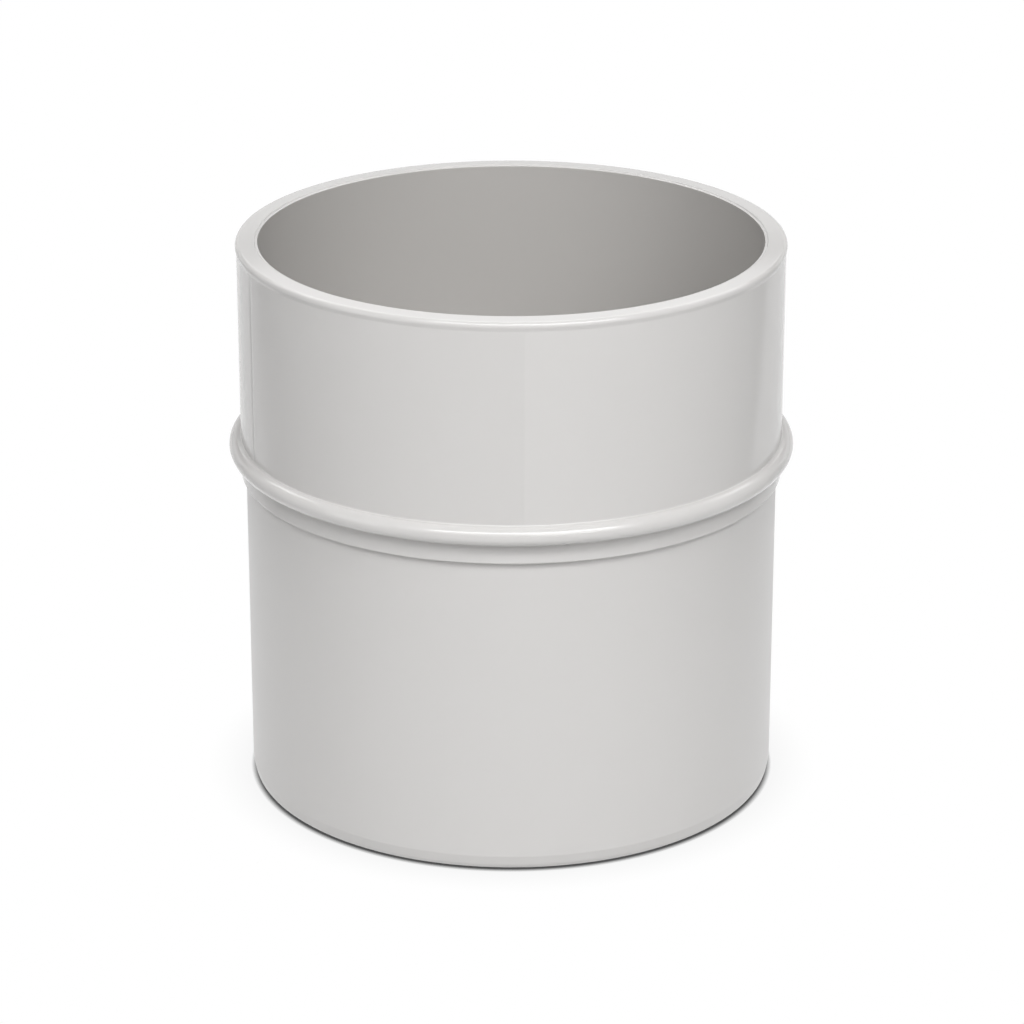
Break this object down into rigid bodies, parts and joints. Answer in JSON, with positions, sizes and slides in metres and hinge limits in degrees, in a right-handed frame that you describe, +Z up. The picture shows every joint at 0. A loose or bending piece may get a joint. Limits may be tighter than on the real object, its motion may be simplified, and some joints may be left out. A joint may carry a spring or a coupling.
{
  "type": "pipe socket",
  "caption": "Short moulded plastic sleeve with a bore at each end, a half-round outer bead and an inner stop ring, for joining two plain round pipes end to end.",
  "frame": {"origin": "middle of the foot's lower face, on the axis of the bores", "axes": "+Z up along the axis of the bores, from the foot to the rim"},
  "size_m": [0.0776, 0.0776, 0.0774],
  "materials": {
    "grey_plastic": "satin gloss, light warm grey unplasticised PVC straight from the mould"
  },
  "bodies": {
    "root": {"pipe_socket": "grey_plastic"}
  },
  "joints": []
}
